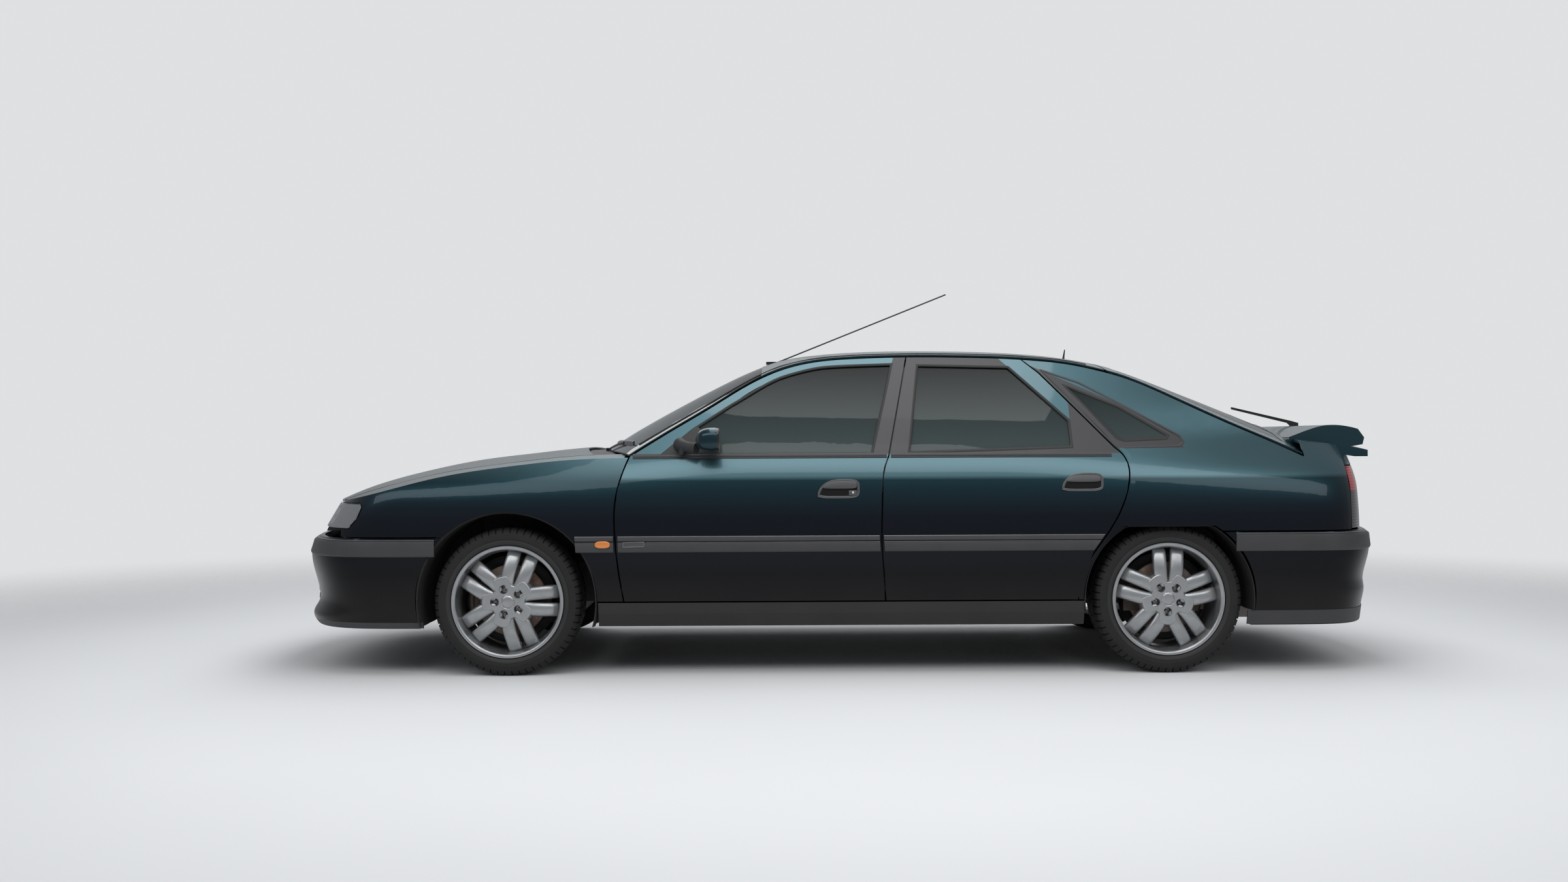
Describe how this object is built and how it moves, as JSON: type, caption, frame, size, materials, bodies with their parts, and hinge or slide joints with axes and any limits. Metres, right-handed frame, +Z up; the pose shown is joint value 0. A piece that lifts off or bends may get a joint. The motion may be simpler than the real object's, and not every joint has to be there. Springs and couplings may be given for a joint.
{
  "type": "executive car",
  "caption": "Five-door executive hatchback with opening doors, bonnet and tailgate, steered front wheels and spinning wheels on alloy rims.",
  "frame": {"origin": "on the ground at the middle of the overall length and width", "axes": "the nose points to -X, the left side is -Y, +Z is up"},
  "size_m": [4.7351, 2.02, 1.6707],
  "materials": {
    "paint": "dark teal metallic paint under clear coat",
    "glass": "lightly tinted safety glass",
    "lamp_clear": "clear ribbed lamp lens over a bright reflector",
    "lamp_red": "red and smoked lamp lens",
    "tyre": "black rubber with moulded tread blocks",
    "alloy": "silver painted cast alloy",
    "skirt": "dark grey metallic plastic",
    "black_plastic": "grained black plastic",
    "satin_black": "satin black paint",
    "upholstery": "dark grey woven cloth",
    "shell": "body colour without lacquer, and grey liner",
    "cast_iron": "bare cast iron and steel with light rust",
    "steel": "dull exhaust steel"
  },
  "bodies": {
    "body": {"aerial": "satin_black", "dashboard": "black_plastic", "engine": "cast_iron", "exhaust": "steel", "floor_pan": "shell", "front_axle": "cast_iron", "front_bumper": "paint", "front_frame": "shell", "front_seat_left": "upholstery", "front_seat_right": "upholstery", "front_wing_left": "paint", "front_wing_right": "paint", "front_wipers": "satin_black", "grille": "black_plastic", "headlamp_left": "lamp_clear", "headlamp_right": "lamp_clear", "quarter_glass_left": "glass", "quarter_glass_right": "glass", "rear_axle": "cast_iron", "rear_bumper": "paint", "rear_quarter_left": "paint", "rear_quarter_right": "paint", "rear_seat": "upholstery", "roof": "paint", "scuttle": "black_plastic", "side_frame_left": "shell", "side_frame_right": "shell", "side_skirt_left": "skirt", "side_skirt_right": "skirt", "steering_wheel": "black_plastic", "tail_lamp_left": "lamp_red", "tail_lamp_right": "lamp_red", "windscreen": "glass"},
    "bonnet": {"bonnet": "paint"},
    "tailgate": {"tailgate": "paint", "tailgate_glass": "glass", "rear_wiper": "satin_black"},
    "door_front_left": {"front_door_left": "paint", "front_door_glass_left": "glass", "mirror_left": "paint"},
    "door_rear_left": {"rear_door_left": "paint", "rear_door_glass_left": "glass"},
    "hub_left": {"knuckle_left": "cast_iron"},
    "wheel_front_left": {"tyre_front_left": "tyre", "rim_front_left": "alloy"},
    "wheel_rear_left": {"tyre_rear_left": "tyre", "rim_rear_left": "alloy"},
    "door_front_right": {"front_door_right": "paint", "front_door_glass_right": "glass", "mirror_right": "paint"},
    "door_rear_right": {"rear_door_right": "paint", "rear_door_glass_right": "glass"},
    "hub_right": {"knuckle_right": "cast_iron"},
    "wheel_front_right": {"tyre_front_right": "tyre", "rim_front_right": "alloy"},
    "wheel_rear_right": {"tyre_rear_right": "tyre", "rim_rear_right": "alloy"}
  },
  "joints": [
    {"name": "front_door_left_hinge", "type": "hinge", "parent": "body", "child": "door_front_left", "pos_m": [-0.87375, -0.885, 0.6], "axis": [0, 0, -1], "range_deg": [0, 65]},
    {"name": "rear_door_left_hinge", "type": "hinge", "parent": "body", "child": "door_rear_left", "pos_m": [0.23525, -0.885, 0.6], "axis": [0, 0, -1], "range_deg": [0, 65]},
    {"name": "front_door_right_hinge", "type": "hinge", "parent": "body", "child": "door_front_right", "pos_m": [-0.87375, 0.885, 0.6], "axis": [0, 0, 1], "range_deg": [0, 65]},
    {"name": "rear_door_right_hinge", "type": "hinge", "parent": "body", "child": "door_rear_right", "pos_m": [0.23525, 0.885, 0.6], "axis": [0, 0, 1], "range_deg": [0, 65]},
    {"name": "bonnet_hinge", "type": "hinge", "parent": "body", "child": "bonnet", "pos_m": [-1.035, 0, 0.878], "axis": [0, 1, 0], "range_deg": [0, 50]},
    {"name": "tailgate_hinge", "type": "hinge", "parent": "body", "child": "tailgate", "pos_m": [1.11, 0, 1.31998], "axis": [0, -1, 0], "range_deg": [0, 75]},
    {"name": "steer_left", "type": "hinge", "parent": "body", "child": "hub_left", "pos_m": [-1.394, -0.69, 0.31], "axis": [0, 0, 1], "range_deg": [-33, 33]},
    {"name": "steer_right", "type": "hinge", "parent": "body", "child": "hub_right", "pos_m": [-1.394, 0.69, 0.31], "axis": [0, 0, 1], "range_deg": [-33, 33]},
    {"name": "front_left_spin", "type": "hinge", "parent": "hub_left", "child": "wheel_front_left", "pos_m": [-1.394, -0.75, 0.31], "axis": [0, 1, 0], "continuous": true},
    {"name": "front_right_spin", "type": "hinge", "parent": "hub_right", "child": "wheel_front_right", "pos_m": [-1.394, 0.75, 0.31], "axis": [0, 1, 0], "continuous": true},
    {"name": "rear_left_spin", "type": "hinge", "parent": "body", "child": "wheel_rear_left", "pos_m": [1.373, -0.75, 0.31], "axis": [0, 1, 0], "continuous": true},
    {"name": "rear_right_spin", "type": "hinge", "parent": "body", "child": "wheel_rear_right", "pos_m": [1.373, 0.75, 0.31], "axis": [0, 1, 0], "continuous": true}
  ],
  "couplings": [
    {"joint": "steer_right", "follows": "steer_left", "ratio": 1}
  ]
}
